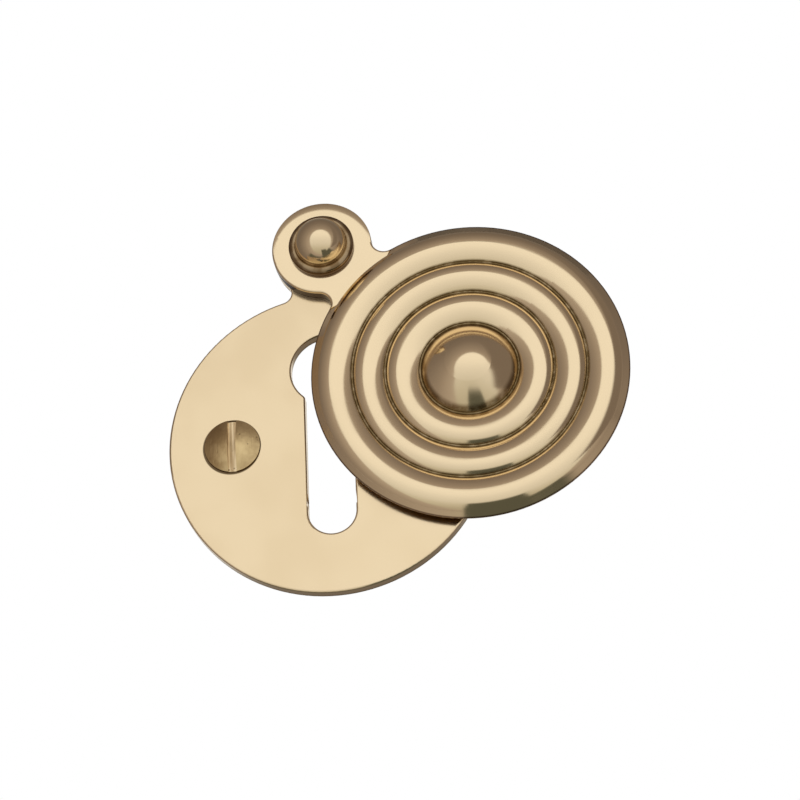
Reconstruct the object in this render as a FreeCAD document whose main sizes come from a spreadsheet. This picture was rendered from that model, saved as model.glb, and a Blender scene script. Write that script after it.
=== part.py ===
import FreeCAD, Part
import math
import os
import Sketcher

os.makedirs("parts", exist_ok=True)
doc = FreeCAD.newDocument("keyhole_escutcheon")
Vector = FreeCAD.Vector

# Driving dimensions in millimetres, angles in degrees.
# Each flat piece is drawn lying down, with +Z out of its front, and stood up by its Placement.
driving_sizes = (
    ("plate_radius", 19.0, "disc of the backplate"),
    ("plate_thickness", 1.4, "sheet of the backplate"),
    ("plate_edge_round", 0.25, "round on the front outer edge of the backplate"),
    ("ear_radius", 5.98, "ear of the backplate, and of the cover that lies on it"),
    ("ear_sink", 0.38, "depth by which the ear's circle runs into the disc"),
    ("neck_fillet", 1.35, "hollow curve between the disc and the ear of the backplate"),
    ("bow_radius", 4.45, "round head of the keyhole"),
    ("bow_height", 9.15, "centre of the keyhole's head above the disc's centre"),
    ("slot_width", 5.64, "straight slot of the keyhole"),
    ("slot_drop", 8.95, "centre of the slot's round foot below the disc's centre"),
    ("keyhole_shift", 0.1, "keyhole to the right of the disc's centre"),
    ("keyhole_corner", 0.4, "round between the keyhole's head and its slot"),
    ("keyhole_edge_round", 0.28, "round on the keyhole's front edge"),
    ("wear_reach", 1.15, "key wear at the foot of the slot, below its wall"),
    ("wear_side_width", 0.12, "wear beyond each side of the slot"),
    ("wear_angle", 52.0, "slope of the wear, from square to the face"),
    ("cover_inset", 0.225, "step of the cover inside the disc's radius"),
    ("cover_rise", 0.08, "centre of the closed cover above the disc's centre"),
    ("cover_swing_angle", 44.0, "angle by which the cover hangs open, to the right"),
    ("cover_neck_fillet", 1.55, "hollow curve between the cover and its ear"),
    ("cover_ear_thickness", 1.5, "ear of the cover"),
    ("cover_ear_overhang", 0.09, "cover's ear beyond the backplate's ear"),
    ("cover_ear_ease", 0.28, "round on the front edge of the cover's ear"),
    ("cover_ear_round", 2.8, "gentler round over the ear's far end"),
    ("ear_round_width", 1.1, "width of that round where it is widest"),
    ("ear_round_side", 0.44, "axis of the gentler round, to one side of the pivot"),
    ("ear_round_back", 0.3, "the same axis, off the pivot towards the cover's disc"),
    ("ear_gap", 0.05, "air between flat faces that turn on each other"),
    ("rim_clearance", 0.1, "air between the screw heads and the rim that sweeps over them"),
    ("rim_land", 1.2, "width of the rim's land under the cover"),
    ("back_relief", 0.12, "depth of the hollow inside the rim's land"),
    ("rim_height", 0.16, "side wall of the cover's rim"),
    ("strip_width", 0.725, "bevelled strip between the rim and the first reed"),
    ("strip_rise", 0.3, "rise of that strip"),
    ("outer_reed_width", 4.03, "first reed"),
    ("outer_reed_crest", 1.9, "crest of the first reed, in from its outer foot"),
    ("outer_reed_rise", 0.94, "first reed above its outer foot"),
    ("outer_reed_fall", 0.72, "first reed above its inner foot"),
    ("middle_reed_width", 3.52, "second reed"),
    ("middle_reed_crest", 1.45, "crest of the second reed, in from its outer foot"),
    ("middle_reed_rise", 0.62, "second reed above its outer foot"),
    ("middle_reed_fall", 0.8, "second reed above its inner foot"),
    ("inner_reed_width", 3.79, "third reed"),
    ("inner_reed_crest", 1.55, "crest of the third reed, in from its outer foot"),
    ("inner_reed_rise", 0.69, "third reed above its outer foot"),
    ("inner_reed_fall", 0.77, "third reed above its inner foot"),
    ("dome_rise", 3.15, "centre dome above its foot"),
    ("dome_nose_radius", 5.1, "rounded nose of the dome"),
    ("dome_nose_reach", 2.75, "reach of the nose from the dome's axis"),
    ("cove_width", 0.36, "small hollow between two reeds"),
    ("cove_depth", 0.14, "depth of that hollow"),
    ("rivet_radius", 1.6, "shank of the pivot rivet"),
    ("rivet_fit", 0.02, "radial air between the rivet and the backplate"),
    ("rivet_tail_radius", 2.2, "peened tail, flush with the back"),
    ("rivet_tail_depth", 0.6, "depth of the peened tail"),
    ("pivot_clearance", 0.05, "radial running clearance in the cover's ear"),
    ("collar_radius", 3.95, "collar under the rivet's ball"),
    ("collar_edge", 0.4, "side wall of the collar"),
    ("collar_rise", 0.9, "foot of the ball above the collar's seat"),
    ("collar_crest", 3.35, "crest of the collar's round, out from the rivet's axis"),
    ("ball_radius", 3.08, "ball head of the rivet"),
    ("screw_inset", 7.58, "centre of a screw in from the edge of the backplate's disc"),
    ("screw_head_radius", 3.28, "head of a screw"),
    ("screw_head_rise", 0.8, "crown of the head above its edge"),
    ("screw_head_stand", 0.25, "edge of the head above the backplate"),
    ("screw_head_margin", 0.03, "countersink beyond the head, all round"),
    ("screw_seat_gap", 0.03, "air under the head's cone"),
    ("screw_slot_width", 1.0, "driver slot"),
    ("screw_slot_depth", 1.15, "driver slot, from the crown"),
    ("screw_shank_radius", 1.75, "plain shank of a screw"),
    ("screw_hole_clearance", 0.15, "radial air round the shank"),
    ("screw_shank_length", 7.01, "from the crown to the end of the plain shank"),
    ("screw_core_radius", 1.2, "core under the thread"),
    ("screw_runout", 0.9, "taper from the shank to the core"),
    ("screw_point", 2.6, "length of the gimlet point"),
    ("screw_length", 17.01, "from the crown to the point"),
    ("right_screw_angle", 25.0, "angle by which the right screw's slot differs"),
)

sheet = doc.addObject("Spreadsheet::Sheet", "sizes")
for row, (name, value, note) in enumerate(driving_sizes, 1):
    sheet.set("A%d" % row, name)
    sheet.set("B%d" % row, str(value))
    sheet.set("C%d" % row, note)
    sheet.setAlias("B%d" % row, name)
doc.recompute()


class Size:
    """A number together with the spreadsheet expression that gives it."""

    def __init__(self, value, text):
        self.value = value
        self.text = text

    def join(self, other, sign, value):
        return Size(value, "(%s %s %s)" % (self.text, sign, as_size(other).text))

    def __add__(self, other):
        return self.join(other, "+", self.value + as_size(other).value)

    def __sub__(self, other):
        return self.join(other, "-", self.value - as_size(other).value)

    def __mul__(self, other):
        return self.join(other, "*", self.value * as_size(other).value)

    def __truediv__(self, other):
        return self.join(other, "/", self.value / as_size(other).value)


def root(amount):
    return Size(math.sqrt(amount.value), "sqrt(%s)" % amount.text)


def as_size(number):
    return number if isinstance(number, Size) else Size(float(number), repr(float(number)))


def size(name):
    return Size(float(sheet.get(name)), "sizes." + name)


def bind(thing, prop, amount):
    """Give a feature's property its value and its expression."""
    thing.setExpression(prop, as_size(amount).text)


def new_body(name):
    body = doc.addObject("PartDesign::Body", name)
    body.Label = name
    return body


def new_sketch(body, name, role, lift=None):
    """A sketch on one of the body's own origin planes, lifted off it by a size."""
    sketch = body.newObject("Sketcher::SketchObject", name)
    plane = [part for part in body.Origin.OriginFeatures if part.Role == role][0]
    sketch.AttachmentSupport = (plane, [""])
    sketch.MapMode = "FlatFace"
    if lift is not None:
        bind(sketch, "AttachmentOffset.Base.z", lift)
    return sketch


def fix_point(sketch, piece, which, along, up):
    """Hold a point of a drawn piece at a distance along and up from the sketch's origin."""
    for kind, amount in (("DistanceX", along), ("DistanceY", up)):
        amount = as_size(amount)
        row = sketch.addConstraint(Sketcher.Constraint(kind, -1, 1, piece, which, amount.value))
        sketch.setExpression("Constraints[%d]" % row, amount.text)


def fix_along(sketch, piece, which, along):
    along = as_size(along)
    row = sketch.addConstraint(Sketcher.Constraint("DistanceX", -1, 1, piece, which, along.value))
    sketch.setExpression("Constraints[%d]" % row, along.text)


def fix_radius(sketch, piece, radius):
    row = sketch.addConstraint(Sketcher.Constraint("Radius", piece, radius.value))
    sketch.setExpression("Constraints[%d]" % row, radius.text)


def draw_circle(sketch, radius, along=0.0, up=0.0):
    centre = Vector(as_size(along).value, as_size(up).value, 0)
    piece = sketch.addGeometry(Part.Circle(centre, Vector(0, 0, 1), radius.value), False)
    fix_radius(sketch, piece, radius)
    fix_point(sketch, piece, 3, along, up)
    return piece


def draw_profile(sketch, corners):
    """A closed outline. Each corner is (along, up, bend), and bend shapes the edge that follows.

    It is None for a straight edge. Otherwise it is (centre, side): an arc whose centre stands at
    that distance along, a crown where side is 1 and a hollow where it is -1. A centre of None
    leaves the arc to flow into the next one, and to bend as that needs. Arcs run inwards, towards
    the sketch's upright axis.
    """
    flat = [Vector(as_size(along).value, as_size(up).value, 0) for along, up, bend in corners]
    pieces = []
    for i, (along, up, bend) in enumerate(corners):
        start = flat[i]
        end = flat[(i + 1) % len(flat)]
        if bend is None:
            pieces.append((sketch.addGeometry(Part.LineSegment(start, end), False), 1, 2))
            continue
        if bend[0] is None:
            following = corners[i + 1]
            middle = arc_centre(end, flat[(i + 2) % len(flat)], as_size(following[2][0]).value)
            normal = (end - middle).normalize()
            radius = -(start - end).dot(start - end) / (2 * (start - end).dot(normal))
            centre = end - normal * radius
            crown = radius > 0
        else:
            centre = arc_centre(start, end, as_size(bend[0]).value)
            radius = centre.distanceToPoint(start)
            crown = bend[1] > 0
        first_turn = math.atan2(start.y - centre.y, start.x - centre.x)
        last_turn = math.atan2(end.y - centre.y, end.x - centre.x)
        if not crown:
            first_turn, last_turn = last_turn, first_turn
        while last_turn < first_turn:
            last_turn += 2 * math.pi
        circle = Part.Circle(centre, Vector(0, 0, 1), abs(radius))
        piece = sketch.addGeometry(Part.ArcOfCircle(circle, first_turn, last_turn), False)
        pieces.append((piece, 1, 2) if crown else (piece, 2, 1))
    for i, (along, up, bend) in enumerate(corners):
        piece, first, last = pieces[i]
        before, before_first, before_last = pieces[i - 1]
        fix_point(sketch, piece, first, along, up)
        flows = corners[i - 1][2] is not None and corners[i - 1][2][0] is None
        kind = "Tangent" if flows else "Coincident"
        sketch.addConstraint(Sketcher.Constraint(kind, before, before_last, piece, first))
        if bend is not None and bend[0] is not None:
            fix_along(sketch, piece, 3, bend[0])
    return [piece for piece, first, last in pieces]


def arc_centre(start, end, along):
    """Centre of the circle through two points, where its distance along is known."""
    up = ((start.x - along)**2 + start.y**2 - (end.x - along)**2 - end.y**2) / (2 * (start.y - end.y))
    return Vector(along, up, 0)


def draw_eared_outline(sketch, disc, arm, ear, neck, inner=None):
    """A disc about the origin with an ear at the height arm, joined by two hollow neck curves.

    With inner, only the ear and its neck are outlined, and two lines close them inside the disc.
    """
    reach = disc.value + neck.value
    tip = ear.value + neck.value
    turn = math.acos((reach**2 + arm.value**2 - tip**2) / (2 * reach * arm.value))
    hollow = Vector(reach * math.sin(turn), reach * math.cos(turn), 0)
    up = Vector(0, 0, 1)
    at_ear = math.atan2(arm.value - hollow.y, -hollow.x)
    at_disc = math.atan2(-hollow.y, -hollow.x)
    ear_foot = math.atan2(hollow.y - arm.value, hollow.x)
    disc_foot = math.atan2(hollow.y, hollow.x)
    full = 2 * math.pi

    def arc(centre, radius, first, last, helper=False):
        circle = Part.Circle(centre, up, radius.value)
        return sketch.addGeometry(Part.ArcOfCircle(circle, first, last), helper)

    ear_arc = arc(Vector(0, arm.value, 0), ear, ear_foot, math.pi - ear_foot)
    right = arc(hollow, neck, at_ear, at_disc + full)
    left = arc(Vector(-hollow.x, hollow.y, 0), neck, math.pi - at_disc - full, math.pi - at_ear)
    disc_arc = arc(Vector(0, 0, 0), disc, math.pi - disc_foot, disc_foot + full, inner is not None)
    for first, first_end, second, second_end in (
        (ear_arc, 1, right, 1),
        (right, 2, disc_arc, 2),
        (disc_arc, 1, left, 1),
        (left, 2, ear_arc, 2),
    ):
        sketch.addConstraint(Sketcher.Constraint("Tangent", first, first_end, second, second_end))
    fix_point(sketch, disc_arc, 3, 0.0, 0.0)
    fix_point(sketch, ear_arc, 3, 0.0, arm)
    fix_radius(sketch, disc_arc, disc)
    fix_radius(sketch, ear_arc, ear)
    fix_radius(sketch, right, neck)
    sketch.addConstraint(Sketcher.Constraint("Equal", right, left))
    if inner is None:
        return
    foot = Vector(0, inner.value, 0)
    side = Vector(disc.value * math.cos(disc_foot), disc.value * math.sin(disc_foot), 0)
    lower = sketch.addGeometry(Part.LineSegment(side, foot), False)
    upper = sketch.addGeometry(Part.LineSegment(foot, Vector(-side.x, side.y, 0)), False)
    sketch.addConstraint(Sketcher.Constraint("Coincident", right, 2, lower, 1))
    sketch.addConstraint(Sketcher.Constraint("Coincident", lower, 2, upper, 1))
    sketch.addConstraint(Sketcher.Constraint("Coincident", upper, 2, left, 1))
    fix_point(sketch, lower, 2, 0.0, inner)


def pad(body, name, sketch, length):
    feature = body.newObject("PartDesign::Pad", name)
    feature.Profile = sketch
    bind(feature, "Length", length)
    doc.recompute()
    return feature


def cut(body, name, sketch, length=None, reverse=False):
    """A pocket, through everything where no length is given. It has to remove something."""
    before = body.Shape.Volume
    feature = body.newObject("PartDesign::Pocket", name)
    feature.Profile = sketch
    feature.Reversed = reverse
    if length is None:
        feature.Type = "ThroughAll"
    else:
        bind(feature, "Length", length)
    doc.recompute()
    if not body.Shape.Volume < before - 1e-6:
        raise RuntimeError(name + " cuts nothing")
    return feature


def turn_solid(body, name, sketch):
    feature = body.newObject("PartDesign::Revolution", name)
    feature.Profile = sketch
    feature.ReferenceAxis = (sketch, ["V_Axis"])
    feature.Angle = 360.0
    doc.recompute()
    return feature


def round_edges(body, name, radius, wanted):
    """Round each edge of the body's last feature for which wanted(edge) is true."""
    base = body.Tip
    edges = ["Edge%d" % (i + 1) for i, edge in enumerate(base.Shape.Edges) if wanted(edge)]
    feature = body.newObject("PartDesign::Fillet", name)
    feature.Base = (base, edges)
    bind(feature, "Radius", radius)
    doc.recompute()
    return feature


def drill(body, name, sketch, radius, sink_radius, sink_angle):
    """A countersunk hole from the sketch's plane downwards, through everything."""
    before = body.Shape.Volume
    feature = body.newObject("PartDesign::Hole", name)
    feature.Profile = sketch
    doc.recompute()
    feature.Threaded = False
    feature.DepthType = "ThroughAll"
    feature.HoleCutType = "Countersink"
    feature.HoleCutCustomValues = True
    bind(feature, "Diameter", radius * 2)
    bind(feature, "HoleCutDiameter", sink_radius * 2)
    bind(feature, "HoleCutCountersinkAngle", sink_angle)
    doc.recompute()
    if not body.Shape.Volume < before - 1e-6:
        raise RuntimeError(name + " cuts nothing")
    return feature


def at_height(edge, height):
    return all(abs(point.Point.z - height) < 1e-6 for point in edge.Vertexes)


def upright(edge):
    return isinstance(edge.Curve, Part.Line) and abs(edge.tangentAt(edge.FirstParameter).z) > 0.999


def far_from_axis(edge, along, up):
    middle = edge.valueAt((edge.FirstParameter + edge.LastParameter) / 2)
    return math.hypot(middle.x - along, middle.y - up)


front_up = FreeCAD.Rotation(Vector(1, 0, 0), 90)
front_down = FreeCAD.Rotation(Vector(1, 0, 0), -90)
upwards = Vector(0, 0, 1)

# Sizes shared by several pieces
plate_thickness = size("plate_thickness")
plate_radius = size("plate_radius")
ear_radius = size("ear_radius")
pivot_height = plate_radius + ear_radius - size("ear_sink")
cover_radius = plate_radius - size("cover_inset")
cover_arm = pivot_height - size("cover_rise")
cover_ear_radius = ear_radius + size("cover_ear_overhang")
rivet_radius = size("rivet_radius")
rivet_fit = size("rivet_fit")
ear_gap = size("ear_gap")
cover_ear_thickness = size("cover_ear_thickness")
screw_head_radius = size("screw_head_radius")
screw_shank_radius = size("screw_shank_radius")
screw_offset = plate_radius - size("screw_inset")
rim_lift = size("screw_head_stand") + size("screw_head_rise") + size("rim_clearance")


def make_backplate():
    body = new_body("backplate")
    outline = new_sketch(body, "plate_outline", "XY_Plane")
    draw_eared_outline(outline, plate_radius, pivot_height, ear_radius, size("neck_fillet"))
    pad(body, "plate_sheet", outline, plate_thickness)

    # keyhole: a round bow over a straight slot with a round foot
    keyhole = new_sketch(body, "keyhole_outline", "XY_Plane")
    bind(keyhole, "AttachmentOffset.Base.x", size("keyhole_shift"))
    bow = size("bow_radius")
    bow_height = size("bow_height")
    half = size("slot_width") / 2
    drop = size("slot_drop")
    turn = math.asin(half.value / bow.value)
    shoulder = bow_height.value - bow.value * math.cos(turn)
    bow_circle = Part.Circle(Vector(0, bow_height.value, 0), upwards, bow.value)
    foot_circle = Part.Circle(Vector(0, -drop.value, 0), upwards, half.value)
    bow_arc = keyhole.addGeometry(
        Part.ArcOfCircle(bow_circle, turn - math.pi / 2, 1.5 * math.pi - turn), False
    )
    left = keyhole.addGeometry(
        Part.LineSegment(Vector(-half.value, shoulder, 0), Vector(-half.value, -drop.value, 0)), False
    )
    foot = keyhole.addGeometry(Part.ArcOfCircle(foot_circle, math.pi, 2 * math.pi), False)
    right = keyhole.addGeometry(
        Part.LineSegment(Vector(half.value, -drop.value, 0), Vector(half.value, shoulder, 0)), False
    )
    for kind, *ends in (
        ("Coincident", bow_arc, 2, left, 1),
        ("Tangent", left, 2, foot, 1),
        ("Tangent", foot, 2, right, 1),
        ("Coincident", right, 2, bow_arc, 1),
        ("Vertical", left),
        ("PointOnObject", foot, 3, -2),
    ):
        keyhole.addConstraint(Sketcher.Constraint(kind, *ends))
    fix_point(keyhole, bow_arc, 3, 0.0, bow_height)
    fix_radius(keyhole, bow_arc, bow)
    fix_radius(keyhole, foot, half)
    row = keyhole.addConstraint(Sketcher.Constraint("DistanceY", foot, 3, -1, 1, drop.value))
    keyhole.setExpression("Constraints[%d]" % row, drop.text)
    cut(body, "keyhole", keyhole, reverse=True)
    round_edges(
        body,
        "keyhole_corners",
        size("keyhole_corner"),
        lambda edge: upright(edge)
        and abs(edge.Vertexes[0].Point.y - shoulder) < plate_thickness.value
        and not isinstance(edge.Curve, Part.Circle),
    )
    thickness = plate_thickness.value
    rim = (plate_radius - size("plate_edge_round")).value
    for name, radius, outer in (
        ("keyhole_round", "keyhole_edge_round", False),
        ("plate_round", "plate_edge_round", True),
    ):
        round_edges(
            body,
            name,
            size(radius),
            lambda edge, outer=outer: at_height(edge, thickness)
            and (far_from_axis(edge, 0, 0) > rim) == outer,
        )

    # key wear: a slanting scoop at the foot of the slot
    wear = new_sketch(body, "wear_outline", "XY_Plane")
    slope = size("wear_angle")
    scoop = half + size("wear_side_width")
    low = drop.value + half.value + size("wear_reach").value
    centre_up = scoop.value / math.cos(math.radians(slope.value)) - low
    wear.AttachmentOffset = FreeCAD.Placement(
        Vector(size("keyhole_shift").value, centre_up, plate_thickness.value),
        FreeCAD.Rotation(Vector(1, 0, 0), slope.value),
    )
    draw_circle(wear, scoop)
    cut(body, "key_wear", wear, plate_thickness)

    # screw holes, countersunk from the front
    screw_centres = new_sketch(body, "screw_centres", "XY_Plane", plate_thickness)
    draw_circle(screw_centres, screw_shank_radius, screw_offset)
    draw_circle(screw_centres, screw_shank_radius, Size(0.0, "0") - screw_offset)
    drill(
        body,
        "screw_holes",
        screw_centres,
        screw_shank_radius + size("screw_hole_clearance"),
        screw_head_radius + size("screw_head_margin"),
        90.0,
    )

    # pivot hole, with the seat of the peened tail at the back
    pivot_centre = new_sketch(body, "pivot_centre", "XY_Plane")
    draw_circle(pivot_centre, rivet_radius + rivet_fit, 0.0, pivot_height)
    cut(body, "pivot_hole", pivot_centre, reverse=True)
    seat = new_sketch(body, "tail_seat", "YZ_Plane")
    tail_radius = size("rivet_tail_radius") + rivet_fit
    hole_radius = rivet_radius + rivet_fit
    draw_profile(
        seat,
        [
            (pivot_height, 0.0, None),
            (pivot_height + tail_radius, 0.0, None),
            (pivot_height + hole_radius, size("rivet_tail_depth"), None),
            (pivot_height, size("rivet_tail_depth"), None),
        ],
    )
    groove = body.newObject("PartDesign::Groove", "tail_countersink")
    groove.Profile = seat
    groove.ReferenceAxis = (seat, ["Edge4"])
    groove.Angle = 360.0
    before = body.Shape.Volume
    doc.recompute()
    if not body.Shape.Volume < before - 1e-6:
        raise RuntimeError("tail_countersink cuts nothing")
    body.Placement = FreeCAD.Placement(Vector(0, 0, 0), front_up)
    return body


def make_swing_cover():
    body = new_body("swing_cover")
    cove = size("cove_width")
    crease = cover_radius - size("strip_width")

    # ear and neck, lying on the backplate's ear
    ear_outline = new_sketch(body, "ear_outline", "XY_Plane", ear_gap)
    reed_crown = crease - size("outer_reed_width") / 2
    draw_eared_outline(
        ear_outline, cover_radius, cover_arm, cover_ear_radius, size("cover_neck_fillet"), reed_crown
    )
    pad(body, "ear", ear_outline, cover_ear_thickness)
    top = ear_gap + cover_ear_thickness
    round_edges(
        body,
        "ear_ease",
        size("cover_ear_ease"),
        lambda edge: at_height(edge, top.value) and not isinstance(edge.Curve, Part.Line),
    )
    round_ear(body, top)

    # turned section, from the axis outwards underneath and back over the reeds
    section = new_sketch(body, "section", "XZ_Plane")
    inside = cover_radius - size("rim_land")
    hollow = rim_lift + size("back_relief")
    up = rim_lift + size("rim_height")
    corners = [
        (0.0, hollow, None),
        (inside, hollow, None),
        (inside, rim_lift, None),
        (cover_radius, rim_lift, None),
        (cover_radius, up, None),
    ]
    edge = crease
    up = up + size("strip_rise")
    for reed in ("outer_reed", "middle_reed", "inner_reed"):
        crest = edge - size(reed + "_crest")
        corners.append((edge, up, (crest, 1)))
        up = up + size(reed + "_rise")
        corners.append((crest, up, (crest, 1)))
        edge = edge - size(reed + "_width")
        up = up - size(reed + "_fall")
        middle = edge - cove / 2
        corners.append((edge, up, (middle, -1)))
        corners.append((middle, up - size("cove_depth"), (middle, -1)))
        edge = edge - cove
    nose = size("dome_nose_radius")
    reach = size("dome_nose_reach")
    apex = up + size("dome_rise")
    corners.append((edge, up, (None, 1)))
    corners.append((reach, apex - nose + root(nose * nose - reach * reach), (0.0, 1)))
    corners.append((0.0, apex, None))
    draw_profile(section, corners)
    turn_solid(body, "reeded_disc", section)

    bore = new_sketch(body, "bore_outline", "XY_Plane")
    draw_circle(bore, rivet_radius + size("pivot_clearance"), 0.0, cover_arm)
    cut(body, "pivot_bore", bore, reverse=True)

    swing = size("cover_swing_angle").value
    turn = FreeCAD.Rotation(upwards, swing)
    pivot = Vector(0, -plate_thickness.value, pivot_height.value)
    stand = front_up * turn
    body.Placement = FreeCAD.Placement(pivot - stand.multVec(Vector(0, cover_arm.value, 0)), stand)
    return body


def round_ear(body, top):
    """Round the ear's far end. The round turns about an axis off the pivot, so that it fades out."""
    side = size("ear_round_side")
    behind = size("ear_round_back")
    sketch = new_sketch(body, "ear_round_outline", "YZ_Plane", Size(0.0, "0") - side)
    deep = size("cover_ear_round")
    axis_up = cover_arm - behind
    wall = axis_up + cover_ear_radius + root(side * side + behind * behind)
    reach = wall + deep - size("ear_round_width")
    above = top + deep
    centre = Vector((reach - deep).value, (top - deep).value, 0)
    circle = Part.Circle(centre, Vector(0, 0, 1), deep.value)
    arc = sketch.addGeometry(Part.ArcOfCircle(circle, 0, math.pi / 2), False)
    fix_point(sketch, arc, 3, reach - deep, top - deep)
    fix_radius(sketch, arc, deep)
    spots = [
        (reach - deep, top),
        (reach - deep, above),
        (reach + deep, above),
        (reach + deep, top - deep),
        (reach, top - deep),
    ]
    flat = [Vector(as_size(along).value, as_size(up).value, 0) for along, up in spots]
    lines = [sketch.addGeometry(Part.LineSegment(flat[i], flat[i + 1]), False) for i in range(4)]
    sketch.addConstraint(Sketcher.Constraint("Coincident", arc, 2, lines[0], 1))
    for i in range(3):
        sketch.addConstraint(Sketcher.Constraint("Coincident", lines[i], 2, lines[i + 1], 1))
    sketch.addConstraint(Sketcher.Constraint("Coincident", lines[3], 2, arc, 1))
    for i in (0, 2):
        sketch.addConstraint(Sketcher.Constraint("Vertical", lines[i]))
        sketch.addConstraint(Sketcher.Constraint("Horizontal", lines[i + 1]))
    fix_point(sketch, lines[1], 2, reach + deep, above)
    axis = Part.LineSegment(Vector(axis_up.value, 0, 0), Vector(axis_up.value, above.value, 0))
    post = sketch.addGeometry(axis, True)
    fix_point(sketch, post, 1, axis_up, 0.0)
    fix_point(sketch, post, 2, axis_up, above)
    before = body.Shape.Volume
    groove = body.newObject("PartDesign::Groove", "ear_round")
    groove.Profile = sketch
    groove.ReferenceAxis = (sketch, ["Axis0"])
    groove.Midplane = True
    groove.Angle = 256.0
    doc.recompute()
    if not body.Shape.Volume < before - 1e-6:
        raise RuntimeError("ear_round cuts nothing")


def make_pivot_rivet():
    body = new_body("pivot_rivet")
    section = new_sketch(body, "rivet_section", "XZ_Plane")
    seat = plate_thickness + ear_gap + cover_ear_thickness + ear_gap
    collar = size("collar_radius")
    ball = size("ball_radius")
    tail_depth = size("rivet_tail_depth")
    shoulder = seat + size("collar_edge")
    top = seat + size("collar_rise")
    draw_profile(
        section,
        [
            (0.0, 0.0, None),
            (size("rivet_tail_radius"), 0.0, None),
            (rivet_radius, tail_depth, None),
            (rivet_radius, seat, None),
            (collar, seat, None),
            (collar, shoulder, (size("collar_crest"), 1)),
            (ball, top, (0.0, 1)),
            (0.0, top + ball, None),
        ],
    )
    turn_solid(body, "rivet", section)
    body.Placement = FreeCAD.Placement(Vector(0, 0, pivot_height.value), front_up)
    return body


def make_screw(name, along, turn):
    """A slotted raised countersunk wood screw. Its crown is at the origin, its point along +Z."""
    body = new_body(name)
    section = new_sketch(body, name + "_section", "XZ_Plane")
    rise = size("screw_head_rise")
    stand = size("screw_head_stand")
    land = stand + size("screw_head_margin") - size("screw_seat_gap")
    cone_foot = rise + land + screw_head_radius - screw_shank_radius
    shank_end = size("screw_shank_length")
    core = size("screw_core_radius")
    length = size("screw_length")
    corners = [
        (screw_head_radius, rise, (0.0, -1)),
        (0.0, 0.0, None),
        (0.0, length, None),
        (core, length - size("screw_point"), None),
        (core, shank_end + size("screw_runout"), None),
        (screw_shank_radius, shank_end, None),
        (screw_shank_radius, cone_foot, None),
        (screw_head_radius, rise + land, None),
    ]
    draw_profile(section, corners)
    turn_solid(body, name + "_turned", section)

    slot = new_sketch(body, name + "_slot_outline", "XY_Plane")
    half = size("screw_slot_width") / 2
    reach = screw_head_radius + rise
    spots = [
        Vector(side * half.value, end * reach.value, 0)
        for side, end in ((-1, -1), (1, -1), (1, 1), (-1, 1))
    ]
    sides = [
        slot.addGeometry(Part.LineSegment(spots[i], spots[(i + 1) % 4]), False) for i in range(4)
    ]
    for i in range(4):
        slot.addConstraint(Sketcher.Constraint("Coincident", sides[i], 2, sides[(i + 1) % 4], 1))
    for i in (0, 2):
        slot.addConstraint(Sketcher.Constraint("Horizontal", sides[i]))
        slot.addConstraint(Sketcher.Constraint("Vertical", sides[i + 1]))
    slot.addConstraint(Sketcher.Constraint("Symmetric", sides[0], 1, sides[2], 1, -1, 1))
    for kind, side, amount in (
        ("DistanceX", sides[0], size("screw_slot_width")),
        ("DistanceY", sides[1], reach * 2),
    ):
        row = slot.addConstraint(Sketcher.Constraint(kind, side, 1, side, 2, amount.value))
        slot.setExpression("Constraints[%d]" % row, amount.text)
    cut(body, name + "_slot", slot, size("screw_slot_depth"), reverse=True)

    proud = (plate_thickness + stand + rise).value
    spin = FreeCAD.Rotation(upwards, turn)
    body.Placement = FreeCAD.Placement(Vector(along, -proud, 0), front_down * spin)
    return body


nodes = [
    make_backplate(),
    make_swing_cover(),
    make_pivot_rivet(),
    make_screw("screw_left", -screw_offset.value, 0.0),
    make_screw("screw_right", screw_offset.value, size("right_screw_angle").value),
]
doc.recompute()

for thing in doc.Objects:
    if "Invalid" in thing.State or "Error" in thing.State:
        raise RuntimeError(thing.Name + " failed: " + str(thing.State))
for body in nodes:
    shape = body.Shape
    if shape.isNull() or not shape.isValid() or len(shape.Solids) != 1:
        raise RuntimeError(body.Label + " is not one valid solid")
    box = shape.BoundBox
    print(body.Label, "volume %.2f" % shape.Volume, "solids", len(shape.Solids))
    print("    from %.2f %.2f %.2f" % (box.XMin, box.YMin, box.ZMin))
    print("    to %.2f %.2f %.2f" % (box.XMax, box.YMax, box.ZMax))
for body in nodes:
    body.Shape.exportStep("parts/" + body.Label + ".step")
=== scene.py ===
import bpy
import math
from mathutils import Matrix, Vector


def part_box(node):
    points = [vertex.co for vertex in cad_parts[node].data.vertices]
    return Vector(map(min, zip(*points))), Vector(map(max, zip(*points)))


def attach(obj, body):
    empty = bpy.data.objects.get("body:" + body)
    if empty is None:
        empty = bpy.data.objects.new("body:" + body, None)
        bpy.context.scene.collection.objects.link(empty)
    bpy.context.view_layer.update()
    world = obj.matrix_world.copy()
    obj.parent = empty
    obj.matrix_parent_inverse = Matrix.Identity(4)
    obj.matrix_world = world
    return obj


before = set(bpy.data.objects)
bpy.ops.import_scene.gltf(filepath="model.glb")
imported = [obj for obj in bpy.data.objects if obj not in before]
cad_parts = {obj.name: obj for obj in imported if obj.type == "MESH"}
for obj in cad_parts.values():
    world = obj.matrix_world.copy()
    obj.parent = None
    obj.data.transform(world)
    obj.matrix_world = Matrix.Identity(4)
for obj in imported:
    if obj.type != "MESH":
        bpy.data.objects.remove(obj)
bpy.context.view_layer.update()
mm = 0.001
print("frame loaded:", ", ".join(sorted(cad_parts)))


# The camera stands low in front of the part and looks up at it.
camera = {
    "place": (0.031016, -0.259178, -0.112218),
    "right": (0.99365375, 0.1049115, -0.04056852),
    "back": (0.07915639, -0.90843837, -0.41045583),
    "lens": 108.55,
    "sensor": 36.0,
}


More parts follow.
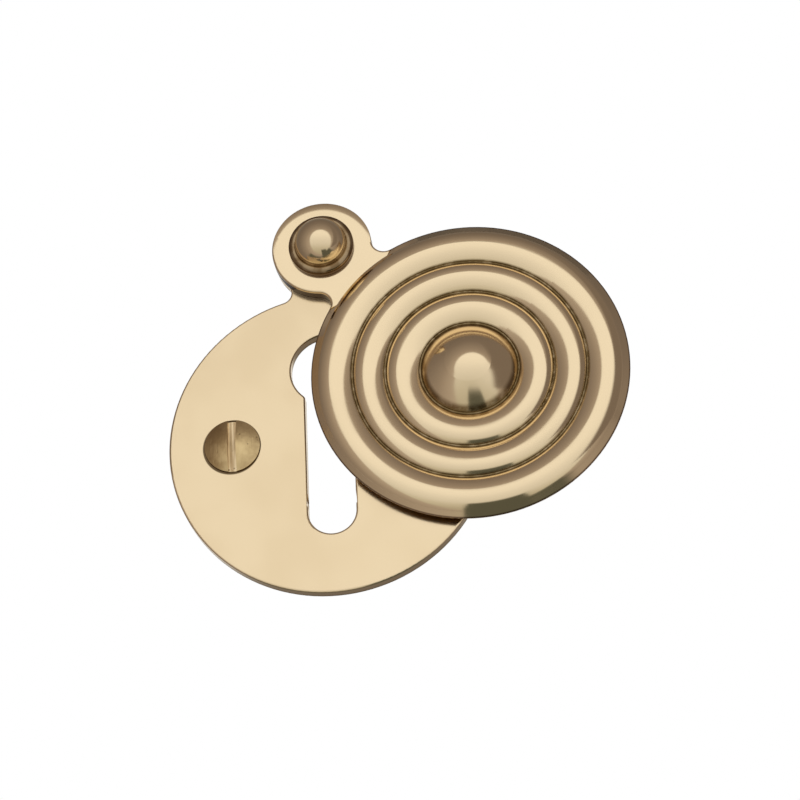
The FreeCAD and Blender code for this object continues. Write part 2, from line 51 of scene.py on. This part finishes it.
def addCamera():
    data = bpy.data.cameras.new("camera")
    data.lens = camera["lens"]
    data.sensor_width = camera["sensor"]
    data.clip_start = 0.01
    thing = bpy.data.objects.new("camera", data)
    right = Vector(camera["right"])
    back = Vector(camera["back"])
    turn = Matrix((right, back.cross(right), back)).transposed().to_4x4()
    thing.matrix_world = Matrix.Translation(camera["place"]) @ turn
    bpy.context.collection.objects.link(thing)
    bpy.context.scene.camera = thing


addCamera()
bpy.context.scene.view_settings.view_transform = "Standard"
print("camera set")


# Shader maths: a Value wraps one socket, and maths on it adds Math nodes.
class Value:
    def __init__(self, nodes, socket):
        self.nodes = nodes
        self.socket = socket

    def math(self, operation, *others):
        return self.nodes.add("ShaderNodeMath", {"operation": operation}, [self, *others])

    def __add__(self, other):
        return self.math("ADD", other)

    def __sub__(self, other):
        return self.math("SUBTRACT", other)

    def __mul__(self, other):
        return self.math("MULTIPLY", other)

    def __truediv__(self, other):
        return self.math("DIVIDE", other)

    def __rsub__(self, other):
        return (self * -1.0) + other

    __radd__ = __add__
    __rmul__ = __mul__

    def size(self):
        return self.math("ABSOLUTE")

    def root(self):
        return self.math("SQRT")

    def atLeast(self, other):
        return self.math("MAXIMUM", other)

    def atMost(self, other):
        return self.math("MINIMUM", other)

    def step(self, low, high, to=(0.0, 1.0)):
        # smooth ramp from low to high, held at both ends; low may be the larger of the two
        if low > high:
            low, high, to = high, low, (to[1], to[0])
        values = {"Value": self, "From Min": low, "From Max": high}
        values.update({"To Min": to[0], "To Max": to[1]})
        settings = {"interpolation_type": "SMOOTHSTEP"}
        return self.nodes.add("ShaderNodeMapRange", settings, values)


class NodeMaker:
    def __init__(self, tree):
        self.tree = tree
        self.tree.nodes.clear()

    def add(self, kind, settings=None, inputs=(), output=0):
        made = self.tree.nodes.new(kind)
        for name, value in (settings or {}).items():
            if name == "stops":
                ramp = made.color_ramp
                while len(ramp.elements) < len(value):
                    ramp.elements.new(1.0)
                for stop, (place, colour) in zip(ramp.elements, value):
                    stop.position = place
                    stop.color = (*colour, 1.0)
            else:
                setattr(made, name, value)
        pairs = inputs.items() if isinstance(inputs, dict) else enumerate(inputs)
        for name, value in pairs:
            socket = made.inputs[name]
            if isinstance(value, Value):
                self.tree.links.new(value.socket, socket)
            elif isinstance(value, tuple) and socket.type == "RGBA" and len(value) == 3:
                socket.default_value = (*value, 1.0)
            else:
                socket.default_value = value
        return Value(self, made.outputs[output]) if len(made.outputs) else None

    def place(self):
        return self.add("ShaderNodeTexCoord", output="Object")

    def parts(self, vector):
        made = self.add("ShaderNodeSeparateXYZ", inputs=[vector]).socket.node
        return [Value(self, part) for part in made.outputs]

    def moved(self, vector, centre=(0.0, 0.0, 0.0), turn=(0.0, 0.0, 0.0), scale=(1.0, 1.0, 1.0)):
        # centred first, then turned, then scaled
        at = self.add("ShaderNodeVectorMath", {"operation": "SUBTRACT"}, [vector, centre])
        at = self.add("ShaderNodeMapping", {}, {"Vector": at, "Rotation": turn})
        return self.add("ShaderNodeVectorMath", {"operation": "MULTIPLY"}, [at, scale])

    def noise(self, vector, scale, detail=2.0, roughness=0.5):
        values = {"Vector": vector, "Scale": scale, "Detail": detail, "Roughness": roughness}
        return self.add("ShaderNodeTexNoise", {}, values)

    def blend(self, factor, first, second):
        values = {0: factor, 6: first, 7: second}
        return self.add("ShaderNodeMix", {"data_type": "RGBA"}, values, output=2)

    def bump(self, height, strength, distance):
        values = {"Height": height, "Strength": strength, "Distance": distance}
        return self.add("ShaderNodeBump", {}, values)


def newMaterial(name):
    material = bpy.data.materials.new(name)
    material.use_nodes = True
    return material, NodeMaker(material.node_tree)


def closeMaterial(nodes, values):
    surface = nodes.add("ShaderNodeBsdfPrincipled", {}, values)
    nodes.add("ShaderNodeOutputMaterial", {}, {"Surface": surface})


def dressNode(node, material):
    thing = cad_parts[node]
    for slot in thing.material_slots:
        slot.material = material


def levelApex(node):
    # the point of a turned front looks straight ahead, so that it leaves no fleck in a reflection
    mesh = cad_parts[node].data
    level = min(spot.co.y for spot in mesh.vertices) + 0.001 * mm
    normals = [Vector(corner.vector) for corner in mesh.corner_normals]
    tops = {spot.index for spot in mesh.vertices if spot.co.y < level}
    for edge in mesh.edges:
        if tops & set(edge.vertices):
            edge.use_edge_sharp = True
    for loop in mesh.loops:
        if loop.vertex_index in tops:
            normals[loop.index] = Vector((0.0, -1.0, 0.0))
    mesh.normals_split_custom_set(normals)


# The studio is mapped in degrees from the way back to the camera: across to its right, and up.
degrees = 180 / math.pi
studio = {
    "centre": (2.0, 12.0),
    "reach": (51.0, 46.5),
    "stretch": 0.75,
    "front": (
        (-90.0, (0.42, 0.40, 0.34)),
        (-45.0, (0.50, 0.48, 0.42)),
        (-25.0, (0.62, 0.61, 0.56)),
        (-5.0, (0.77, 0.77, 0.76)),
        (15.0, (0.86, 0.86, 0.86)),
        (35.0, (0.97, 0.97, 0.97)),
        (48.0, (1.0, 1.0, 1.0)),
    ),
    "around": (
        (50.0, (0.46, 0.41, 0.38)),
        (62.0, (0.40, 0.35, 0.32)),
        (72.0, (0.33, 0.285, 0.26)),
        (84.0, (0.28, 0.24, 0.22)),
        (100.0, (0.22, 0.185, 0.17)),
        (122.0, (0.18, 0.152, 0.138)),
        (146.0, (0.20, 0.18, 0.165)),
        (164.0, (0.78, 0.77, 0.76)),
    ),
    "behind": (150.0, 168.0),
    "shade": (0.11, 0.114, 0.094),
    "shades": (
        {"from": (10.0, 20.0), "to": (66.0, 54.0), "near": (43.0, 50.0), "far": (82.0, 72.0)},
        {"from": (-48.0, -38.0), "to": (48.0, 38.0), "near": (62.0, 70.0), "far": (122.0, 108.0)},
    ),
}


def addStudio():
    world = bpy.data.worlds.new("studio")
    world.use_nodes = True
    bpy.context.scene.world = world
    nodes = NodeMaker(world.node_tree)
    way = nodes.add("ShaderNodeTexCoord", output="Generated")
    way = nodes.add("ShaderNodeVectorMath", {"operation": "NORMALIZE"}, [way])

    def share(axis):
        settings = {"operation": "DOT_PRODUCT"}
        return nodes.add("ShaderNodeVectorMath", settings, [way, tuple(axis)], output="Value")

    right, back = Vector(camera["right"]), Vector(camera["back"])
    across, up = share(right), share(back.cross(right))
    angle = share(back).atMost(1.0).atLeast(-1.0).math("ARCCOSINE") * degrees
    leastShare = 0.0001
    spread = angle / (across * across + up * up).root().atLeast(leastShare)
    across, up = across * spread, up * spread
    side, rise = across - studio["centre"][0], up - studio["centre"][1]
    rise = rise.atLeast(rise * -studio["stretch"])
    inside = (side * side + rise * rise).root().step(*studio["reach"])
    stops = [((height + 90) / 180, colour) for height, colour in studio["front"]]
    front = nodes.add("ShaderNodeValToRGB", {"stops": stops}, [(up + 90.0) / 180.0])
    stops = [(reach / 180, colour) for reach, colour in studio["around"]]
    around = nodes.add("ShaderNodeValToRGB", {"stops": stops}, [angle / 180.0])
    rays = ["Is Camera Ray", "Is Glossy Ray", "Is Transmission Ray"]
    rays = [nodes.add("ShaderNodeLightPath", output=ray) for ray in rays]
    isCamera, isGlossy, isTransmission = rays
    white = isCamera.atLeast((isGlossy + isTransmission) * angle.step(*studio["behind"]))
    colour = nodes.blend(inside, around, front)
    # the shades lie below: each between two turns from straight down, and two angles
    turn = across.math("ARCTAN2", up * -1.0) * degrees
    for shade in studio["shades"]:
        dark = turn.step(*shade["from"]) * turn.step(*shade["to"])
        dark = dark * angle.step(*shade["near"]) * angle.step(*shade["far"])
        colour = nodes.blend(dark, colour, studio["shade"])
    colour = nodes.blend(white, colour, (1.0, 1.0, 1.0))
    lit = nodes.add("ShaderNodeBackground", {}, {"Color": colour, "Strength": 1.0})
    nodes.add("ShaderNodeOutputWorld", {}, {"Surface": lit})


# Cards near the part, which only its reflections see: a dark one below, a brown one at the right.
cards = (
    {
        "name": "cardFront",
        "x": (9, 41),
        "y": (-58, -2),
        "z": (-47, -47),
        "colour": (0.11, 0.114, 0.094),
        "fade": ("y", 0.3),
    },
    {
        "name": "cardRight",
        "x": (49, 400),
        "y": (-30, -30),
        "z": (-22, 300),
        "colour": (0.215, 0.18, 0.162),
        "fade": ("x", 0.04),
    },
)


def addCards():
    for card in cards:
        low = Vector([card[axis][0] for axis in "xyz"]) * mm
        high = Vector([card[axis][1] for axis in "xyz"]) * mm
        span = high - low
        bpy.ops.object.select_all(action="DESELECT")
        bpy.ops.mesh.primitive_plane_add(size=1.0, location=(low + high) / 2)
        thing = bpy.context.object
        thing.name = card["name"]
        upright = span.z > 0
        thing.rotation_euler.x = math.pi / 2 if upright else 0.0
        thing.scale = (span.x, span.z if upright else span.y, 1.0)
        material, nodes = newMaterial(card["name"])
        values = {"Base Color": (0.0, 0.0, 0.0), "Roughness": 1.0, "Specular IOR Level": 0.0}
        values.update({"Emission Color": card["colour"], "Emission Strength": 1.0})
        # the card's first edge along the axis of its fade is soft; the plane runs from -0.5 to 0.5
        axis, width = card["fade"]
        along = nodes.parts(nodes.place())["xyz".index(axis)]
        values["Alpha"] = along.step(-0.5, width - 0.5)
        closeMaterial(nodes, values)
        thing.data.materials.append(material)
        thing.visible_camera = False
        thing.visible_diffuse = False
        thing.visible_shadow = False


floor = {
    "height": -0.25,
    "size": 6.0,
    "colour": (0.86, 0.86, 0.85),
    "grain": 40.0,
    "roughness": (0.55, 0.65),
}
lamps = (
    {"name": "lampFront", "at": (-0.5, -0.9, 0.8), "size": 0.8, "watts": 7.0},
    {"name": "lampSide", "at": (0.9, -0.5, 0.5), "size": 0.8, "watts": 3.5},
)


def addFloorAndLamps():
    bpy.ops.object.select_all(action="DESELECT")
    bpy.ops.mesh.primitive_plane_add(size=floor["size"], location=(0, 0, floor["height"]))
    thing = bpy.context.object
    thing.name = "floor"
    material, nodes = newMaterial("paleFloor")
    grain = nodes.noise(nodes.place(), floor["grain"], 3.0).step(0.3, 0.7, floor["roughness"])
    closeMaterial(nodes, {"Base Color": floor["colour"], "Roughness": grain})
    thing.data.materials.append(material)
    thing.visible_glossy = False
    for lamp in lamps:
        data = bpy.data.lights.new(lamp["name"], "AREA")
        data.shape = "DISK"
        data.size = lamp["size"]
        data.energy = lamp["watts"]
        light = bpy.data.objects.new(lamp["name"], data)
        light.location = Vector(lamp["at"])
        light.rotation_euler = Vector(lamp["at"]).to_track_quat("Z", "Y").to_euler()
        light.visible_glossy = False
        bpy.context.collection.objects.link(light)


addStudio()
addCards()
addFloorAndLamps()
print("studio set")


scratchStretch = 0.03


def scratches(nodes, place, turn, scale, low, high):
    # thin straight marks, from noise that is stretched along one way in the front's plane
    turned = (0.0, math.radians(turn), 0.0)
    turned = nodes.moved(place, turn=turned, scale=(scratchStretch, 1.0, 1.0))
    return nodes.noise(turned, scale, 1.0, 0.4).step(low, high)


def ringRound(nodes, place, centre):
    # distance in millimetres from an upright axis of the front, and the height off the back face
    x, y, z = nodes.parts(nodes.moved(place, centre))
    return (x * x + z * z).root() * (1 / mm), y * (-1 / mm)


# Backplate: satin brass, brushed, dark round each screw head, and plain and darker on its back.
# The sink is the ring round a head; the shadow, a painted shadow in the grime colour, is a disc
# set off from it, down and left.
plate = {
    "colour": (0.865, 0.695, 0.450),
    "warm": (0.850, 0.675, 0.428),
    "back": (0.55, 0.41, 0.23),
    # grime colour, also used for the painted shadow set off from each screw head
    "grime": (0.10, 0.055, 0.02),
    "roughness": (0.19, 0.23),
    "clouds": 110.0,
    "behind": (-0.5 * mm, -0.1 * mm),
    "behindRough": 0.14,
    "brushed": ((4.0, 2400.0), (97.0, 3100.0)),
    "bump": (0.06, 0.01 * mm),
    "screwAcross": 11.42 * mm,
    "sink": (3.2, 3.28, 3.32, 3.40),
    "sinkHeight": (0.2, 0.5),
    "sinkRough": 0.2,
    "shadow": (3.50, 3.36),
    "shadowShift": (-0.11 * mm, -0.12 * mm),
    "shadowShare": 0.9,
}


def plateBrass():
    material, nodes = newMaterial("plateBrass")
    place = nodes.place()
    x, y, z = nodes.parts(place)
    cloud = nodes.noise(place, plate["clouds"], 2.0).step(0.3, 0.7)
    colour = nodes.blend(cloud, plate["colour"], plate["warm"])
    behind = y.step(*plate["behind"])
    colour = nodes.blend(behind, colour, plate["back"])
    start, full, fade, end = plate["sink"]
    shift, drop = plate["shadowShift"]
    sink = None
    for side in (-1, 1):
        across = side * plate["screwAcross"]
        away, height = ringRound(nodes, place, (across, 0.0, 0.0))
        ring = away.step(start, full) * away.step(end, fade) * height.step(*plate["sinkHeight"])
        away, height = ringRound(nodes, place, (across + shift, 0.0, drop))
        shadow = away.step(*plate["shadow"]) * height.step(*plate["sinkHeight"])
        ring = ring.atLeast(shadow * plate["shadowShare"])
        sink = ring if sink is None else sink.atLeast(ring)
    # grime in each sink, and the painted shadow of each head, both in the grime colour
    colour = nodes.blend(sink, colour, plate["grime"])
    brushed = plate["brushed"]
    first, second = [scratches(nodes, place, turn, scale, 0.5, 0.8) for turn, scale in brushed]
    marks = (first + second * 0.4) * nodes.noise(place, 70.0, 1.0).step(0.4, 0.7)
    rough = cloud.step(0.0, 1.0, plate["roughness"])
    rough = rough + behind * plate["behindRough"] + sink * plate["sinkRough"]
    normal = nodes.bump(marks * -1.0, *plate["bump"])
    values = {"Base Color": colour, "Metallic": 1.0, "Roughness": rough, "Normal": normal}
    closeMaterial(nodes, values)
    return material


# Cover: polished brass, brown where the polish doesn't reach: the grooves, the foot of the dome
# and the back. The walls of the ear are nearly black, a painted shade for their dark reflection.
# Radii, widths and heights are in millimetres, heights off the plate's back face.
cover = {
    "radius": 18.775,
    "colour": (0.865, 0.695, 0.450),
    "roughness": (0.10, 0.15),
    "clouds": 160.0,
    "grime": 1100.0,
    "hollow": (0.22, 0.15, 0.065),
    "hollowRadii": (13.84, 9.96, 5.81),
    "hollowWidth": (0.40, 0.14),
    "hollowRough": 0.22,
    "foot": (0.24, 0.15, 0.065),
    "footRadii": (4.8, 5.35, 5.75, 5.85),
    "back": (0.40, 0.25, 0.11),
    "backHeight": (2.705, 2.675),
    "backEdge": (0.02, -0.02),
    "backRough": 0.35,
    # painted shade, nearly black, standing for the dark reflection in the ear's walls
    "wallShade": (0.05, 0.026, 0.010),
    "wallShadeEdge": (0.04, 0.1),
    "wallShadeHeight": (2.72, 2.45),
    "wallShadeRough": 0.2,
    "rimLine": (0.24, 0.16, 0.10),
    "rimWidth": (0.20, 0.06),
    "rimHeight": (2.88, 2.80),
    "strip": 0.725,
    "stripSlope": 0.5,
    "neckTurn": (30.0, 20.0),
}


def coverBrass():
    low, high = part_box("swing_cover")
    radius = cover["radius"]
    centre = (high.x - radius * mm, 0.0, low.z + radius * mm)
    material, nodes = newMaterial("coverBrass")
    place = nodes.place()
    away, height = ringRound(nodes, place, centre)
    outside = away - radius
    cloud = nodes.noise(place, cover["clouds"], 3.0).step(0.3, 0.7)
    grime = nodes.noise(place, cover["grime"], 3.0, 0.6).step(0.3, 0.6, (0.72, 1.0))
    back = height.step(*cover["backHeight"]) * outside.step(*cover["backEdge"])
    hollow = None
    for hollowRadius in cover["hollowRadii"]:
        ring = (away - hollowRadius).size().step(*cover["hollowWidth"])
        hollow = ring if hollow is None else hollow.atLeast(ring)
    hollow = hollow * grime * (1.0 - back)
    # the ear's walls: mask of the painted shade that stands for their dark reflection
    wall = outside.step(*cover["wallShadeEdge"]) * height.step(*cover["wallShadeHeight"])
    start, full, fade, end = cover["footRadii"]
    foot = away.step(start, full) * away.step(end, fade) * (1.0 - back)
    colour = nodes.blend(foot * grime, cover["colour"], cover["foot"])
    colour = nodes.blend(hollow, colour, cover["hollow"])
    rimLine = outside.size().step(*cover["rimWidth"]) * height.step(*cover["rimHeight"])
    colour = nodes.blend(rimLine, colour, cover["rimLine"])
    colour = nodes.blend(wall, colour, cover["wallShade"])
    colour = nodes.blend(back, colour, cover["back"])
    rough = cloud.step(0.0, 1.0, cover["roughness"]) + hollow * cover["hollowRough"]
    rough = rough + wall * cover["wallShadeRough"] + back * cover["backRough"]

    # the bevelled strip at the rim looks steeper than its shape is, away from the neck
    low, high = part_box("pivot_rivet")
    pivot = Vector(((low.x + high.x) / 2, 0.0, (low.z + high.z) / 2))
    toPivot = (pivot - Vector(centre)).normalized()
    x, y, z = nodes.parts(nodes.moved(place, centre))
    toward = (x * toPivot.x + z * toPivot.z) * (1 / mm) / away
    start, end = [math.cos(math.radians(turn)) for turn in cover["neckTurn"]]
    strip = (outside + cover["strip"]).atLeast(0.0).atMost(cover["strip"])
    strip = strip * toward.step(end, start) * (1.0 - back)
    normal = nodes.bump(strip * -1.0, 1.0, cover["stripSlope"] * mm)
    values = {"Base Color": colour, "Metallic": 1.0, "Roughness": rough, "Normal": normal}
    closeMaterial(nodes, values)
    return material


# Rivet: a polished ball over a tarnished collar, with a dark line where the two lie on the ear.
rivet = {
    "colour": (0.86, 0.69, 0.445),
    "tarnish": (0.22, 0.14, 0.068),
    "line": (0.12, 0.065, 0.025),
    "collar": (3.0, 3.12),
    "edge": (3.86, 3.93),
    "roughness": (0.11, 0.15),
    "collarRough": 0.06,
    "clouds": 700.0,
}


def rivetBrass():
    low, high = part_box("pivot_rivet")
    centre = ((low.x + high.x) / 2, 0.0, (low.z + high.z) / 2)
    material, nodes = newMaterial("rivetBrass")
    place = nodes.place()
    away, height = ringRound(nodes, place, centre)
    cloud = nodes.noise(place, rivet["clouds"], 3.0).step(0.35, 0.7)
    collar = away.step(*rivet["collar"]) * cloud.step(0.0, 1.0, (0.8, 1.0))
    colour = nodes.blend(collar, rivet["colour"], rivet["tarnish"])
    colour = nodes.blend(away.step(*rivet["edge"]), colour, rivet["line"])
    rough = cloud.step(0.0, 1.0, rivet["roughness"]) + collar * rivet["collarRough"]
    closeMaterial(nodes, {"Base Color": colour, "Metallic": 1.0, "Roughness": rough})
    return material


# Screws: darker and rougher than the plate, with patchy wear and fine pits; a painted shade
# darkens each head's outer side.
screw = {
    "colour": (0.74, 0.56, 0.29),
    "wearAndShade": (0.42, 0.28, 0.13),
    "shadedSide": (-1.6, 2.4),
    "clouds": 380.0,
    "slot": (0.86, 0.68, 0.42),
    "slotLines": (0.56, 0.40, 0.22),
    "slotHeight": (1.60, 1.45),
    "slotReach": (3.2, 3.1),
    "slotMarks": 2600.0,
    "pit": (0.10, 0.06, 0.03),
    "pits": 1500.0,
    "marks": ((90.0, 4200.0), (60.0, 3400.0)),
    "grain": 2600.0,
    "bump": (0.35, 0.06 * mm),
    "roughness": (0.30, 0.40),
}


def screwBrass():
    material, nodes = newMaterial("screwBrass")
    place = nodes.place()
    x, y, z = nodes.parts(place)
    across, up = (x.size() - plate["screwAcross"]) * (1 / mm), z * (1 / mm)
    away = (across * across + up * up).root()
    cloud = nodes.noise(place, screw["clouds"], 4.0, 0.6).step(0.35, 0.68)
    # patchy wear, plus a painted shade that darkens each head towards its outer side
    wearAndShade = (cloud * 0.5 + across.step(*screw["shadedSide"]) * 0.7).atMost(1.0)
    colour = nodes.blend(wearAndShade, screw["colour"], screw["wearAndShade"])
    slot = (y * (-1 / mm)).step(*screw["slotHeight"]) * away.step(*screw["slotReach"])
    lines = scratches(nodes, place, 90.0, screw["slotMarks"], 0.5, 0.62)
    colour = nodes.blend(slot, colour, nodes.blend(lines, screw["slot"], screw["slotLines"]))
    pits = nodes.add("ShaderNodeTexVoronoi", {}, {"Vector": place, "Scale": screw["pits"]})
    pits = pits.step(0.22, 0.10) * nodes.noise(place, 600.0, 1.0).step(0.55, 0.64)
    colour = nodes.blend(pits, colour, screw["pit"])
    marks = [scratches(nodes, place, turn, scale, 0.5, 0.7) for turn, scale in screw["marks"]]
    rough = cloud.step(0.0, 1.0, screw["roughness"])
    grain = nodes.noise(place, screw["grain"], 3.0, 0.7)
    relief = pits * -1.0 + (marks[0] + marks[1]) * -0.3 + grain
    normal = nodes.bump(relief, *screw["bump"])
    values = {"Base Color": colour, "Metallic": 1.0, "Roughness": rough, "Normal": normal}
    closeMaterial(nodes, values)
    return material


screwMaterial = screwBrass()
dressNode("backplate", plateBrass())
dressNode("swing_cover", coverBrass())
dressNode("pivot_rivet", rivetBrass())
dressNode("screw_left", screwMaterial)
dressNode("screw_right", screwMaterial)
levelApex("swing_cover")
levelApex("pivot_rivet")
print("brass put on the five nodes")


# Screw threads: one ridge wound round each core, in millimetres until it is placed.
thread = {
    "pitch": 1.41,
    "turns": 7,
    "start": 4.7,
    "inside": 1.12,
    "crest": 1.72,
    "width": 0.95,
    "steps": 28,
    "pointFrom": 11.96,
    "pointEnd": 14.56,
    "pointLeast": 0.02,
    "pointBlunt": 0.05,
    "rampTurns": 0.5,
}


def windThread(name, along):
    bpy.ops.object.select_all(action="DESELECT")
    bpy.ops.mesh.primitive_circle_add(vertices=3, radius=1.0, fill_type="NOTHING")
    ridge = bpy.context.object
    ridge.name = name
    bpy.ops.object.mode_set(mode="EDIT")
    bpy.ops.mesh.select_all(action="SELECT")
    bpy.ops.transform.rotate(value=math.pi / 2, orient_axis="Z", center_override=(0, 0, 0))
    bpy.ops.object.mode_set(mode="OBJECT")
    spots = ridge.data.vertices
    outer = max(spots, key=lambda spot: abs(spot.co.x))
    sign = 1 if outer.co.x > 0 else -1
    for spot in spots:
        crest = spot.index == outer.index
        side = 0.0 if crest else math.copysign(thread["width"] / 2, spot.co.y)
        reach = thread["crest"] if crest else thread["inside"]
        spot.co = (sign * reach, side + thread["start"], 0.0)
    wind = ridge.modifiers.new("wind", "SCREW")
    wind.axis = "Y"
    wind.screw_offset = thread["pitch"]
    wind.iterations = thread["turns"]
    wind.steps = thread["steps"]
    wind.render_steps = thread["steps"]
    wind.use_smooth_shade = False
    bpy.ops.object.modifier_apply(modifier="wind")
    bpy.ops.object.mode_set(mode="EDIT")
    bpy.ops.mesh.select_all(action="DESELECT")
    bpy.ops.mesh.select_mode(type="EDGE")
    bpy.ops.mesh.select_non_manifold()
    bpy.ops.mesh.edge_face_add()
    bpy.ops.mesh.select_all(action="SELECT")
    bpy.ops.mesh.normals_make_consistent(inside=False)
    bpy.ops.object.mode_set(mode="OBJECT")
    for spot in ridge.data.vertices:
        x, y, z = spot.co
        radius = math.hypot(x, z)
        begun = (y - thread["start"]) / (thread["rampTurns"] * thread["pitch"])
        begun = min(1.0, max(0.0, begun))
        wanted = thread["inside"] + (radius - thread["inside"]) * begun
        left = (thread["pointEnd"] - y) / (thread["pointEnd"] - thread["pointFrom"])
        wanted = wanted * min(1.0, max(thread["pointLeast"], left))
        y = min(y, thread["pointEnd"] - thread["pointBlunt"])
        spot.co = (along + x / radius * wanted * mm, y * mm, z / radius * wanted * mm)
    ridge.data.materials.append(screwMaterial)
    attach(ridge, "plate")


for side in ("left", "right"):
    low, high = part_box("screw_" + side)
    windThread("thread_" + side, (low.x + high.x) / 2)
print("threads wound")
